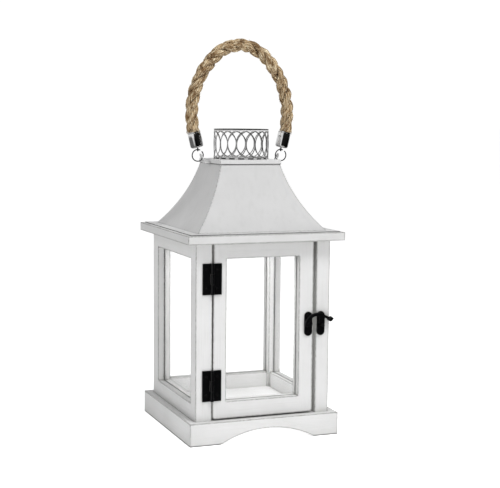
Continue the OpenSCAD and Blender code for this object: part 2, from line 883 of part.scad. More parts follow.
plinth_front_board();
plinth_back_board();
plinth_left_board();
plinth_right_board();
floor_board();
door_sill();
post_front_left();
post_front_right();
post_rear_left();
post_rear_right();
rail_left_bottom();
rail_left_top();
rail_right_bottom();
rail_right_top();
rail_back_bottom();
rail_back_top();
glass_left();
glass_right();
glass_back();
roof_board();
roof_shell();
roof_brads();
roof_collar();
gallery_base_ring();
gallery_lattice();
gallery_top_rim();
ear_left();
ear_right();
ear_rivets();
hinge_frame_leaves();
hinge_pins();
hinge_frame_screws();
catch_plate();
catch_stud();
catch_screws();
door_stile_left();
door_stile_right();
door_rail_bottom();
door_rail_top();
door_glass();
hinge_door_leaves();
hinge_door_screws();
latch_plate();
latch_pivot();
latch_screws();
latch_arm();
latch_knob();
ring_left();
ring_right();
ferrule_left();
ferrule_right();
ferrule_eyes();
rope_handle();
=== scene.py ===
"""Looks of the candle lantern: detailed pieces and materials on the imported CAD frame."""

import json
import math
import random

import bmesh
import bpy
from mathutils import Matrix, Vector, noise

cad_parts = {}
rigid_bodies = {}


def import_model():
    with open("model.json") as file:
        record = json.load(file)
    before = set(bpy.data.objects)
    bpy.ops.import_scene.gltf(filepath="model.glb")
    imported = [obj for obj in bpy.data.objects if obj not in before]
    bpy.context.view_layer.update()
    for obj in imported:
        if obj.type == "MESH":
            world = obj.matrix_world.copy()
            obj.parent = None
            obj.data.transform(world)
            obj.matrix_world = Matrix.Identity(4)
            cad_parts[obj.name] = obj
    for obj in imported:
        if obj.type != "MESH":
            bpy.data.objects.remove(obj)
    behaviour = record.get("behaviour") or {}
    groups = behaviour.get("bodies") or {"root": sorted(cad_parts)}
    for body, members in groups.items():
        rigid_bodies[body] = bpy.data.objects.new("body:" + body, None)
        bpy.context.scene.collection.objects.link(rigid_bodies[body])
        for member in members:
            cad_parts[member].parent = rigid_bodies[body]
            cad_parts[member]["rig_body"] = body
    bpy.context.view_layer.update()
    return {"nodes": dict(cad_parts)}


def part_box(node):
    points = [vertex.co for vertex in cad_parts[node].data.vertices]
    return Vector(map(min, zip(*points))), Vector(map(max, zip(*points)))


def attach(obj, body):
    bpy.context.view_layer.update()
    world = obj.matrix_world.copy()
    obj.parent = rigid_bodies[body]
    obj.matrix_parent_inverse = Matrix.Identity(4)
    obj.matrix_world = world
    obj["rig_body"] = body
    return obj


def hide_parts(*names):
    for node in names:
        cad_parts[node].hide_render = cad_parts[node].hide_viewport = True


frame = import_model()
nodes = frame["nodes"]

TAU = 2 * math.pi
UP = Vector((0, 0, 1))


# ------------------------------------------------------------------ camera
CAMERA_AT = (-0.45138, -1.19842, 0.32707)
CAMERA_TURN = (21.157, 6.045, 0.497)  # degrees to the right, down and of roll
CAMERA_LENS = 88.04  # millimetres, on a sensor 36 mm wide


def make_camera():
    """Camera to the left of the door, a little above the gallery, looking slightly down."""
    yaw, pitch, roll = (math.radians(a) for a in CAMERA_TURN)
    look = Vector((math.sin(yaw) * math.cos(pitch), math.cos(yaw) * math.cos(pitch), -math.sin(pitch)))
    side = Vector((math.cos(yaw), -math.sin(yaw), 0))
    up = side.cross(look)
    right = math.cos(roll) * side + math.sin(roll) * up
    top = math.cos(roll) * up - math.sin(roll) * side
    data = bpy.data.cameras.new("camera")
    data.lens = CAMERA_LENS
    data.sensor_width = 36.0
    data.clip_start = 0.05
    cam = bpy.data.objects.new("camera", data)
    turn = Matrix((right, top, -look)).transposed().to_4x4()
    cam.matrix_world = Matrix.Translation(CAMERA_AT) @ turn
    bpy.context.scene.collection.objects.link(cam)
    bpy.context.scene.camera = cam


# ---------------------------------------------------------- material nodes
class Tree:
    """A node tree, with short calls for the nodes used here."""

    def __init__(self, tree):
        self.tree = tree
        self.tree.nodes.clear()

    def add(self, kind, values=None, **settings):
        """A node with its settings made and its inputs filled; an input takes a value or a socket."""
        made = self.tree.nodes.new("ShaderNode" + kind)
        for key, value in settings.items():
            setattr(made, key, value)
        for key, value in (values or {}).items():
            self.put(made.inputs[key], value)
        return made

    def put(self, socket, value):
        if isinstance(value, bpy.types.NodeSocket):
            self.tree.links.new(value, socket)
        else:
            socket.default_value = value

    def ramp(self, value, *stops):
        """Grey ramp: each stop is (position, level)."""
        made = self.add("ValToRGB", {"Fac": value})
        line = made.color_ramp
        while len(line.elements) < len(stops):
            line.elements.new(0.5)
        for element, (place, level) in zip(line.elements, stops):
            element.position = place
            element.color = (level, level, level, 1)
        return made.outputs[0]

    def math(self, how, a, b=0.0):
        return self.add("Math", {0: a, 1: b}, operation=how).outputs[0]

    def times(self, a, b):
        return self.math("MULTIPLY", a, b)

    def dot(self, a, b):
        return self.add("VectorMath", {0: a, 1: b}, operation="DOT_PRODUCT").outputs["Value"]

    def blend(self, factor, a, b):
        """One shader where the factor is 0, the other where it is 1."""
        return self.add("MixShader", {0: factor, 1: a, 2: b}).outputs[0]


class Shade(Tree):
    """A material's node tree round one Principled shader."""

    def __init__(self, name):
        self.mat = bpy.data.materials.new(name)
        self.mat.use_nodes = True
        super().__init__(self.mat.node_tree)
        self.out = self.add("OutputMaterial")
        self.bsdf = self.add("BsdfPrincipled")
        self.put(self.out.inputs[0], self.bsdf.outputs[0])

    def set(self, **values):
        for key, value in values.items():
            self.put(self.bsdf.inputs[key.replace("_", " ")], value)

    def coords(self, scale, source="Object"):
        """Coordinates of the object, stretched by a scale for each axis."""
        where = self.add("TexCoord").outputs[source]
        return self.add("Mapping", {"Vector": where, "Scale": scale}).outputs[0]

    def noise(self, vector, scale=1.0, detail=4.0, rough=0.55):
        values = {"Vector": vector, "Scale": scale, "Detail": detail, "Roughness": rough}
        return self.add("TexNoise", values).outputs["Fac"]

    def mix(self, factor, a, b):
        """Colour a where the factor is 0, colour b where it is 1."""
        return self.add("Mix", {0: factor, 6: a, 7: b}, data_type="RGBA").outputs[2]

    def edges(self, radius, low, high):
        """1 along the edges of the shape, 0 on its flats."""
        soft = self.add("Bevel", {"Radius": radius}, samples=6).outputs[0]
        true = self.add("NewGeometry").outputs["Normal"]
        return self.ramp(self.math("SUBTRACT", 1.0, self.dot(soft, true)), (low, 0), (high, 1))

    def corners(self, distance, low, high):
        """1 deep in corners and gaps, 0 in the open."""
        near = self.add("AmbientOcclusion", {"Distance": distance}, samples=6).outputs["AO"]
        return self.ramp(near, (low, 1), (high, 0))

    def bump(self, height, distance, strength, normal=None):
        values = {"Height": height, "Distance": distance, "Strength": strength}
        if normal is not None:
            values["Normal"] = normal
        return self.add("Bump", values).outputs[0]


EVEN = (1.0, 1.0, 1.0)
GRAIN_ACROSS, GRAIN_ALONG = 620.0, 22.0
BRUSH_ACROSS, BRUSH_ALONG = 190.0, 9.0


def rgb(r, g, b):
    return (r, g, b, 1.0)


def grey(level):
    return rgb(level, level, level)


def stretched(axis, across, along):
    """Scale of a texture drawn out along one axis."""
    scale = [across] * 3
    scale[axis] = along
    return scale


def painted_wood(axis, name="painted_wood", white=0.80):
    """White brushed paint on wood, grain along one axis, thin and grey on worn edges; painted shade in
    hollows and at the foot.
    """
    m = Shade(name + "_" + "xyz"[axis])
    grain = m.noise(m.coords(stretched(axis, GRAIN_ACROSS, GRAIN_ALONG)), detail=6.0, rough=0.6)
    brush = m.noise(m.coords(stretched(axis, BRUSH_ACROSS, BRUSH_ALONG)), detail=3.0)
    even = m.coords(EVEN)
    cloud = m.noise(even, 34.0, 3.0)
    speck = m.noise(even, 420.0, 5.0, 0.7)

    faded = rgb(white - 0.04, white - 0.04, white - 0.045)
    colour = m.mix(m.ramp(cloud, (0.35, 0), (0.7, 1)), grey(white), faded)
    thin = m.times(m.ramp(grain, (0.52, 0), (0.72, 1)), 0.14)
    colour = m.mix(thin, colour, rgb(0.56, 0.55, 0.53))
    # painted shade: greyer within about 22 mm of facing surfaces, as under the roof board's overhang
    broad_shade = m.times(m.corners(0.022, 0.35, 0.95), 0.32)
    colour = m.mix(broad_shade, colour, rgb(0.46, 0.46, 0.445))
    # painted shade: patchy greenish grey within about 7 mm of corners
    corner_shade = m.times(m.corners(0.007, 0.3, 0.85), m.ramp(cloud, (0.3, 0.3), (0.65, 0.9)))
    colour = m.mix(m.times(corner_shade, 0.4), colour, rgb(0.50, 0.505, 0.46))
    # painted shade: nearly black deep in narrow openings, as round the door and the panes
    gap = m.times(m.corners(0.006, 0.05, 0.35), 0.85)
    colour = m.mix(gap, colour, rgb(0.10, 0.10, 0.095))
    worn = m.times(m.edges(0.0024, 0.01, 0.085), m.ramp(speck, (0.34, 0.35), (0.58, 1.0)))
    colour = m.mix(worn, colour, rgb(0.24, 0.24, 0.228))
    # painted contact shadow: nearly black on the lowest 1.5 mm, where the plinth stands on the floor
    centimetres = m.times(m.add("SeparateXYZ", {"Vector": even}).outputs["Z"], 100.0)
    contact_shadow = m.ramp(centimetres, (0.07, 0.75), (0.15, 0))
    colour = m.mix(contact_shadow, colour, rgb(0.09, 0.09, 0.085))

    m.set(Base_Color=colour, Specular_IOR_Level=0.35)
    m.set(Roughness=m.ramp(brush, (0.3, 0.50), (0.7, 0.66)))
    strokes = m.bump(brush, 0.00035, 0.5)
    m.set(Normal=m.bump(m.ramp(grain, (0.3, 0), (0.8, 1)), 0.00022, 0.6, strokes))
    return m.mat


def painted_metal(name="painted_metal", white=0.66, edge=0.0021):
    """Off-white sheet metal: faint mottling, low dents, grey edges, painted shade in creases."""
    m = Shade(name)
    even = m.coords(EVEN)
    cloud = m.noise(even, 26.0, 3.0, 0.5)
    speck = m.noise(even, 520.0, 4.0, 0.7)
    peel = m.noise(even, 1500.0, 2.0)
    streak = m.noise(m.coords((210.0, 210.0, 16.0)), 1.0, 4.0)

    colour = m.mix(m.ramp(cloud, (0.35, 0), (0.7, 1)), grey(white), grey(white - 0.04))
    washed = m.times(m.ramp(streak, (0.5, 0), (0.75, 1)), 0.2)
    colour = m.mix(washed, colour, rgb(0.5, 0.5, 0.49))
    # painted shade: dark grey within about 5 mm of creases and corners
    crease_shade = m.times(m.corners(0.005, 0.25, 0.8), 0.7)
    colour = m.mix(crease_shade, colour, rgb(0.22, 0.22, 0.21))
    worn = m.times(m.edges(edge, 0.01, 0.08), m.ramp(speck, (0.36, 0.2), (0.62, 0.9)))
    colour = m.mix(worn, colour, grey(0.22))

    m.set(Base_Color=colour, Specular_IOR_Level=0.4)
    m.set(Roughness=m.ramp(cloud, (0.3, 0.38), (0.7, 0.5)))
    m.set(Normal=m.bump(peel, 0.00004, 0.5, m.bump(cloud, 0.0012, 0.35)))
    return m.mat


def black_iron():
    """Satin black lacquer, slightly pitted, rubbed to grey on edges."""
    m = Shade("black_iron")
    even = m.coords(EVEN)
    pits = m.noise(even, 900.0, 4.0, 0.6)
    cloud = m.noise(even, 120.0, 3.0)
    worn = m.times(m.edges(0.0005, 0.04, 0.3), m.ramp(pits, (0.5, 0), (0.7, 0.45)))
    m.set(Base_Color=m.mix(worn, rgb(0.0025, 0.0025, 0.003), grey(0.07)))
    m.set(Roughness=m.ramp(cloud, (0.3, 0.30), (0.7, 0.46)), Specular_IOR_Level=0.4)
    m.set(Normal=m.bump(pits, 0.00010, 0.5))
    return m.mat


def plated(name, colour, dull, rough_low, rough_high):
    """Plated metal with fine rubbing marks and faint tarnish."""
    m = Shade(name)
    even = m.coords(EVEN)
    cloud = m.noise(even, 160.0, 4.0, 0.6)
    marks = m.noise(m.coords((300.0, 300.0, 2600.0)), 1.0, 3.0)
    tarnish = m.times(m.ramp(cloud, (0.5, 0), (0.72, 1)), 0.6)
    m.set(Base_Color=m.mix(tarnish, colour, dull), Metallic=1.0)
    m.set(Roughness=m.ramp(cloud, (0.3, rough_low), (0.75, rough_high)))
    m.set(Normal=m.bump(marks, 0.00003, 0.4, m.bump(cloud, 0.0002, 0.3)))
    return m.mat


def clear_glass():
    """Thin window glass with a faint waviness, clear to the light of lamps."""
    m = Shade("clear_glass")
    even = m.coords(EVEN)
    wave = m.noise(even, 14.0, 2.0)
    dust = m.noise(even, 90.0, 5.0, 0.7)
    m.set(Base_Color=grey(1.0), Transmission_Weight=1.0, IOR=1.46)
    m.set(Roughness=m.ramp(dust, (0.55, 0.0), (0.9, 0.04)))
    m.set(Normal=m.bump(wave, 0.0004, 0.15))
    clear = m.add("BsdfTransparent", {"Color": grey(0.99)})
    for_shadows = m.add("LightPath").outputs["Is Shadow Ray"]
    m.put(m.out.inputs[0], m.blend(for_shadows, m.bsdf.outputs[0], clear.outputs[0]))
    return m.mat


def jute():
    """Twisted jute: straw and brown yarns, painted shade in the grooves, fine fibres along each yarn."""
    m = Shade("jute_rope")
    along = m.coords((26.0, 130.0, 1.0), "UV")
    fibre = m.noise(along, 1.0, 5.0, 0.65)
    patch = m.noise(m.coords(EVEN), 130.0, 4.0, 0.6)
    groove = m.add("Attribute", attribute_name="groove").outputs["Fac"]
    tone = m.add("Attribute", attribute_name="tone").outputs["Fac"]
    colour = m.mix(tone, rgb(0.22, 0.125, 0.052), rgb(0.58, 0.42, 0.245))
    pale_fibres = m.ramp(fibre, (0.52, 0), (0.60, 1))
    colour = m.mix(pale_fibres, colour, rgb(0.88, 0.78, 0.56))
    dark_fibres = m.ramp(fibre, (0.39, 0.9), (0.46, 0))
    colour = m.mix(dark_fibres, colour, rgb(0.085, 0.045, 0.016))
    stains = m.ramp(patch, (0.52, 0), (0.60, 0.75))
    colour = m.mix(stains, colour, rgb(0.12, 0.058, 0.02))
    shadowed = m.ramp(groove, (0.22, 0), (0.62, 0.95))
    colour = m.mix(shadowed, colour, rgb(0.05, 0.024, 0.008))
    m.set(Base_Color=colour, Roughness=0.88, Specular_IOR_Level=0.2)
    m.set(Normal=m.bump(fibre, 0.0005, 0.8))
    return m.mat


def jute_fuzz():
    """Loose fibres that stand off the rope."""
    m = Shade("jute_fibre")
    patch = m.noise(m.coords(EVEN), 260.0, 3.0)
    colour = m.mix(m.ramp(patch, (0.4, 0), (0.62, 1)), rgb(0.62, 0.52, 0.37), rgb(0.36, 0.27, 0.16))
    m.set(Base_Color=colour, Specular_IOR_Level=0.3)
    m.set(Roughness=m.ramp(patch, (0.3, 0.7), (0.7, 0.9)))
    return m.mat


def plain_floor():
    """Pale, brightly lit studio floor that looks white but throws back less light."""
    m = Shade("studio_floor")
    path = m.add("LightPath")
    seen = m.math("MAXIMUM", path.outputs["Is Camera Ray"], path.outputs["Is Transmission Ray"])
    grain = m.noise(m.coords(EVEN), 90.0, 3.0)
    m.set(Base_Color=m.mix(grain, grey(0.92), grey(0.94)), Roughness=0.9)
    m.set(Specular_IOR_Level=0.1, Emission_Color=grey(1.0))
    m.set(Emission_Strength=m.math("ADD", m.times(seen, 0.38), 0.36))
    return m.mat


# ------------------------------------------------------------- mesh helpers
def shaded(mesh, degrees):
    """Smooth shading, with sharp edges where faces meet at more than the angle."""
    mesh.shade_smooth()
    mesh.set_sharp_from_angle(angle=math.radians(degrees))


def piece(name, mesh, material, body, replaced=()):
    """Makes an object of the mesh, on its body, standing for the CAD nodes named."""
    mesh.materials.clear()
    mesh.materials.append(material)
    obj = bpy.data.objects.new(name, mesh)
    bpy.context.scene.collection.objects.link(obj)
    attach(obj, body)
    if replaced:
        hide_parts(*replaced)
    return obj


def body_of(node):
    """Name of the moving body that a CAD node belongs to."""
    return nodes[node]["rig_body"]


def even_normals(obj):
    """Keeps flats flat between rounded edges."""
    even = obj.modifiers.new("even_normals", "WEIGHTED_NORMAL")
    even.keep_sharp = True


def soften(node, material, radius, steps=2):
    """A copy of a CAD node with rounded edges, which stands for it."""
    bm = welded(node)
    round_off(bm, radius, steps)
    mesh = bpy.data.meshes.new(node + "_soft")
    bm.to_mesh(mesh)
    bm.free()
    shaded(mesh, 50.0)
    even_normals(piece(node + "_fine", mesh, material, body_of(node), (node,)))


def welded(node):
    """The CAD node's mesh with its split edges closed again."""
    bm = bmesh.new()
    bm.from_mesh(nodes[node].data)
    bmesh.ops.remove_doubles(bm, verts=bm.verts, dist=1e-6)
    return bm


def round_off(bm, radius, steps, sharper_than=math.radians(25.0)):
    """Rounds every edge with a larger angle between its faces."""
    bmesh.ops.dissolve_limit(
        bm, angle_limit=math.radians(0.4), verts=bm.verts, edges=bm.edges, delimit={"MATERIAL"}
    )
    sharp = [e for e in bm.edges if len(e.link_faces) == 2 and e.calc_face_angle(0) > sharper_than]
    bmesh.ops.bevel(
        bm, geom=sharp, offset=radius, offset_type="OFFSET", segments=steps,
        profile=0.5, affect="EDGES", clamp_overlap=True,
    )
    bmesh.ops.remove_doubles(bm, verts=bm.verts, dist=1e-7)
    bmesh.ops.recalc_face_normals(bm, faces=bm.faces)


def grained_board(node, axis):
    """A copy of a board as an object; the index of its faces' material is the axis of its grain."""
    bm = welded(node)
    for face in bm.faces:
        face.material_index = axis
    mesh = bpy.data.meshes.new(node + "_part")
    bm.to_mesh(mesh)
    bm.free()
    for material in wood:
        mesh.materials.append(material)
    board = bpy.data.objects.new(node + "_part", mesh)
    bpy.context.scene.collection.objects.link(board)
    return board


def united(boards):
    """One mesh of boards that touch; the boards themselves are removed."""
    for board in boards[1:]:
        union = boards[0].modifiers.new(board.name, "BOOLEAN")
        union.operation = "UNION"
        union.solver = "EXACT"
        union.object = board
    solved = boards[0].evaluated_get(bpy.context.evaluated_depsgraph_get())
    bm = bmesh.new()
    bm.from_mesh(solved.to_mesh())
    for board in boards:
        bpy.data.objects.remove(board)
    bmesh.ops.remove_doubles(bm, verts=bm.verts, dist=1e-6)
    return bm


def round_corners(bm, radius):
    """Rounds the four outer corners of a frame that stands upright and faces -Y."""
    left, right = min(v.co.x for v in bm.verts), max(v.co.x for v in bm.verts)
    foot, head = min(v.co.z for v in bm.verts), max(v.co.z for v in bm.verts)

    def at_corner(v):
        from_side = min(v.co.x - left, right - v.co.x)
        from_end = min(v.co.z - foot, head - v.co.z)
        return max(from_side, from_end) < 1e-5

    through = 0.005
    ends = [
        e for e in bm.edges
        if all(at_corner(v) for v in e.verts) and abs(e.verts[0].co.y - e.verts[1].co.y) > through
    ]
    bmesh.ops.bevel(
        bm, geom=ends, offset=radius, offset_type="OFFSET", segments=6, profile=0.5, affect="EDGES"
    )


def joinery(name, boards, radius, corner):
    """Boards glued and painted over as one, so that no joint shows; each keeps its own grain."""
    bm = united([grained_board(node, GRAIN[node]) for node in boards])
    if corner:
        round_corners(bm, corner)
    round_off(bm, radius, 2)
    mesh = bpy.data.meshes.new(name)
    bm.to_mesh(mesh)
    bm.free()
    shaded(mesh, 50.0)
    obj = bpy.data.objects.new(name, mesh)
    for material in wood:
        mesh.materials.append(material)
    bpy.context.scene.collection.objects.link(obj)
    even_normals(obj)
    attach(obj, body_of(boards[0]))
    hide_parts(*boards)


def cover(node, material):
    """Gives a CAD node a better material."""
    for place in nodes[node].material_slots:
        place.material = material


def skin(bm, rings, closed=False):
    """Faces between one ring of vertices and the next; a ring of one vertex is a tip."""
    following = rings[1:] + rings[:1] if closed else rings[1:]
    for low, high in zip(rings, following):
        sides = max(len(low), len(high))
        for k in range(sides):
            n = (k + 1) % sides
            if len(low) == 1:
                bm.faces.new((low[0], high[n], high[k]))
            elif len(high) == 1:
                bm.faces.new((low[k], low[n], high[0]))
            else:
                bm.faces.new((low[k], low[n], high[n], high[k]))


def close_ends(bm, rings):
    """Faces over the first and the last ring."""
    bm.faces.new(list(reversed(rings[0])))
    bm.faces.new(rings[-1])


def tube_along(bm, points, radii, sides, section=None):
    """Closed tube through the points, round unless section(i, ahead) gives its two axes there."""
    rings = []
    for i, p in enumerate(points):
        ahead = points[min(i + 1, len(points) - 1)] - points[max(i - 1, 0)]
        ahead.normalize()
        if section is None:
            a = ahead.orthogonal().normalized()
            b = ahead.cross(a)
        else:
            a, b = section(i, ahead)
        ring = []
        for k in range(sides):
            t = TAU * k / sides
            ring.append(bm.verts.new(p + radii[i] * (math.cos(t) * a + math.sin(t) * b)))
        rings.append(ring)
    skin(bm, rings)
    close_ends(bm, rings)


def circle_at(bm, place, radius, height, sides):
    """Ring of vertices round the local Z axis, or a single one for no radius."""
    if radius < 1e-7:
        return [bm.verts.new(place @ Vector((0, 0, height)))]
    ring = []
    for k in range(sides):
        t = TAU * k / sides
        ring.append(bm.verts.new(place @ Vector((radius * math.cos(t), radius * math.sin(t), height))))
    return ring


def lathe(bm, profile, sides, place):
    """Turns a profile of (radius, height) about the local Z axis; radius 0 closes an end."""
    skin(bm, [circle_at(bm, place, radius, height, sides) for radius, height in profile])


def finished(bm, name, degrees=40.0):
    """The mesh of what was built, its faces turned outwards."""
    bmesh.ops.recalc_face_normals(bm, faces=bm.faces)
    mesh = bpy.data.meshes.new(name)
    bm.to_mesh(mesh)
    bm.free()
    shaded(mesh, degrees)
    return mesh


# ----------------------------------------------------------------- gallery
CELLS = 18
RIM_STEPS = 144


def round_the_vent(node):
    """Middle, outer radius and both heights of a round part of the gallery."""
    low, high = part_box(node)
    middle = (low.x + high.x) / 2
    return middle, high.x - middle, low.z, high.z


def make_lattice(material):
    """Woven ovals round the vent: flat rounded bars that cross alternately over and under."""
    bar_w, bar_t, weave, count = 0.0011, 0.0008, 0.00022, 33
    middle, outer, z0, z1 = round_the_vent("gallery_lattice")
    radius = outer - bar_t / 2
    mid, rise = (z0 + z1) / 2, (z1 - z0) / 2
    step = TAU / CELLS
    pitch = outer * step
    oval_r = (rise * rise + pitch * pitch) / (2 * pitch)
    swing = math.asin(rise / oval_r)
    bm = bmesh.new()
    for cell in range(CELLS):
        for side in (-1, 1):
            points, fronts = [], []
            for i in range(count):
                share = i / (count - 1)
                a = swing * (2 * share - 1)
                across = side * (oval_r * math.cos(a) - oval_r + pitch)
                angle = cell * step + across / outer
                lift = weave * side * math.sin(TAU * share * 1.5)
                out = Vector((math.cos(angle), math.sin(angle), 0))
                points.append(out * (radius + lift) + Vector((middle, 0, mid + oval_r * math.sin(a))))
                fronts.append(out)

            def section(i, ahead):
                wide = ahead.cross(fronts[i]).normalized()
                return wide * (bar_w / bar_t), fronts[i]

            tube_along(bm, points, [bar_t / 2] * count, 8, section)
    mesh = finished(bm, "vent_lattice", 60.0)
    piece("vent_lattice", mesh, material, body_of("gallery_lattice"), ("gallery_lattice",))


def curved_block(bm, centre, inner, outer, z0, z1, start=0.0, end=TAU, steps=RIM_STEPS):
    """Closed block bent round a vertical axis at x = centre; a whole turn closes on itself."""
    whole = end - start > TAU - 1e-6
    rings = []
    for i in range(steps if whole else steps + 1):
        a = start + (end - start) * i / steps
        out = Vector((math.cos(a), math.sin(a), 0))
        corners = ((inner, z0), (outer, z0), (outer, z1), (inner, z1))
        rings.append([bm.verts.new(out * r + Vector((centre, 0, z))) for r, z in corners])
    skin(bm, rings, closed=whole)
    if not whole:
        close_ends(bm, rings)


def make_base_ring(white, black):
    """White ring pierced with a slot under every oval, and a black sheet behind the slots as painted shade.
    """
    wall, bridge = 0.0009, 0.0031
    middle, outer, z0, z1 = round_the_vent("gallery_base_ring")
    inner = outer - wall
    body = body_of("gallery_base_ring")
    bm = bmesh.new()
    curved_block(bm, middle, inner, outer, z0, z0 + 0.00015)
    curved_block(bm, middle, inner, outer, z1 - 0.0002, z1)
    curved_block(bm, middle, inner - 0.0005, inner - 0.0003, z0, z1)
    half = TAU / CELLS / 2 - bridge / outer
    for cell in range(CELLS):
        foot = cell * TAU / CELLS
        curved_block(bm, middle, inner, outer, z0, z1, foot - half, foot + half, 3)
    piece("vent_base", finished(bm, "vent_base"), white, body, ("gallery_base_ring",))
    # painted shade: a black sheet, seen through the slots as the dark inside of the vent
    bm = bmesh.new()
    curved_block(bm, middle, inner - 0.0003, inner - 0.0001, z0, z1)
    piece("vent_base_shade_sheet", finished(bm, "vent_base_shade_sheet"), black, body)


def make_top_rim(white, dark):
    """White band round the top with a wire rolled into its edge, dark as painted shade and reflection."""
    bead, sides = 0.0005, 8
    middle, outer, z0, z1 = round_the_vent("gallery_top_rim")
    body = body_of("gallery_top_rim")
    bm = bmesh.new()
    curved_block(bm, middle, outer - 0.0009, outer - 0.0002, z0, z1 - 0.0004)
    piece("vent_rim", finished(bm, "vent_rim"), white, body, ("gallery_top_rim",))
    bm = bmesh.new()
    turns = [TAU * k / sides for k in range(sides)]
    rings = []
    for i in range(RIM_STEPS):
        a = TAU * i / RIM_STEPS
        out = Vector((math.cos(a), math.sin(a), 0))
        centre = out * (outer - bead) + Vector((middle, 0, z1 - bead))
        rings.append([bm.verts.new(centre + bead * (math.cos(t) * out + math.sin(t) * UP)) for t in turns])
    skin(bm, rings, closed=True)
    piece("vent_rim_shaded_wire", finished(bm, "vent_rim_shaded_wire", 60.0), dark, body)


def make_seam_shadows(material):
    """Uneven dark strips, a painted shadow where sheet metal meets what it lies on, thicker to the left."""
    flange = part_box("roof_shell")
    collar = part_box("roof_collar")
    lines = (
        ("flange_shadow_seam", flange[1].x, flange[0].z, 0.00020, 0.00034),
        ("collar_shadow_seam", collar[1].x - 0.0001, collar[0].z - 0.0002, 0.00022, 0.00030),
    )
    count = 48
    for name, half, z, thin, thick in lines:
        bm = bmesh.new()
        for quarter in range(4):
            turn = Matrix.Rotation(quarter * math.pi / 2, 3, "Z")
            points, radii = [], []
            for i in range(count + 1):
                place = turn @ Vector((half, half * (2 * i / count - 1), 0))
                uneven = 0.5 + 0.9 * noise.noise(place * 45 + Vector((0, 0, 3.1)))
                fade = min(1.0, max(0.0, 0.5 - place.x / half * 0.6))
                r = thin + (thick - thin) * min(1.0, max(0.0, uneven)) * (0.4 + 0.6 * fade)
                radii.append(r)
                points.append(place + Vector((0, 0, z + 0.6 * r)))
            tube_along(bm, points, radii, 6)
        piece(name, finished(bm, name, 60.0), material, body_of("roof_shell"))


# ------------------------------------------------------------------ handle
# The middle line of the rope is a crown arc that touches two side arcs, which end at the ferrules.
SIDE_R = 0.081
SIDE_CX = -0.0281
MID_Z = 0.328
TOP_Z = 0.3983
MOUTH_DROP = 0.0189
FERRULE_R = 0.0068
FERRULE_L = 0.0167

CROWN_RISE = TOP_Z - MID_Z
CROWN_R = (SIDE_R**2 - SIDE_CX**2 - CROWN_RISE**2) / (2 * (SIDE_R - CROWN_RISE))
CROWN_Z = TOP_Z - CROWN_R
CROWN_A = math.atan2(CROWN_Z - MID_Z, -SIDE_CX)
LEAN = math.asin(MOUTH_DROP / SIDE_R)
CROWN_L = CROWN_R * (math.pi / 2 - CROWN_A)
SIDE_L = SIDE_R * (CROWN_A + LEAN)
HALF_L = CROWN_L + SIDE_L
PLUG_L = 0.012

ROPE_PITCH = 0.0365
STRANDS = 3
STRAND_R = 0.00335
STRAND_AWAY = 0.0035
YARNS = 8
YARN_PITCH = 0.024


def rope_frame(s):
    """Point, direction and outward normal of the middle line at s from the crown, + to the right."""
    way = 1 if s >= 0 else -1
    run = abs(s)
    if run <= CROWN_L:
        a = math.pi / 2 - run / CROWN_R
        point = Vector((CROWN_R * math.cos(a), 0, CROWN_Z + CROWN_R * math.sin(a)))
    else:
        a = CROWN_A - min(run - CROWN_L, SIDE_L) / SIDE_R
        point = Vector((SIDE_CX + SIDE_R * math.cos(a), 0, MID_Z + SIDE_R * math.sin(a)))
    out = Vector((math.cos(a), 0, math.sin(a)))
    ahead = Vector((math.sin(a), 0, -math.cos(a)))
    if run > HALF_L:
        point = point + ahead * (run - HALF_L)
    point.x *= way
    out.x *= way
    ahead.x *= way
    return point, ahead * way, out


def squeeze(s):
    """Width of the rope as a share of its free width: less where it goes into a ferrule."""
    taper, lost = 0.0035, 0.155
    inside = min(1.0, max(0.0, (abs(s) - HALF_L + taper) / taper))
    return 1.0 - lost * inside * inside * (3 - 2 * inside)


def wander(s, seed, rate):
    """Slow, smooth change along the rope, another for each seed."""
    return noise.noise(Vector((s * rate, seed * 7.3, 1.7)))


def strand_centre(s, strand):
    """Point on the middle of a strand, and the point on the middle of the rope beside it."""
    point, ahead, out = rope_frame(s)
    across = ahead.cross(out)
    turn = TAU * (s / ROPE_PITCH + strand / STRANDS) + 0.7 * wander(s, strand, 70)
    away = STRAND_AWAY * squeeze(s) * (1 + 0.12 * wander(s, strand + 5, 110))
    return point + away * (math.cos(turn) * out + math.sin(turn) * across), point


def strand_frame(s, strand):
    """Middle of a strand, and its two section axes: away from the rope's middle, and across."""
    centre, middle = strand_centre(s, strand)
    before, _ = strand_centre(s - 0.0004, strand)
    after, _ = strand_centre(s + 0.0004, strand)
    ahead = (after - before).normalized()
    out = centre - middle
    out = (out - ahead * out.dot(ahead)).normalized()
    return centre, out, ahead.cross(out)


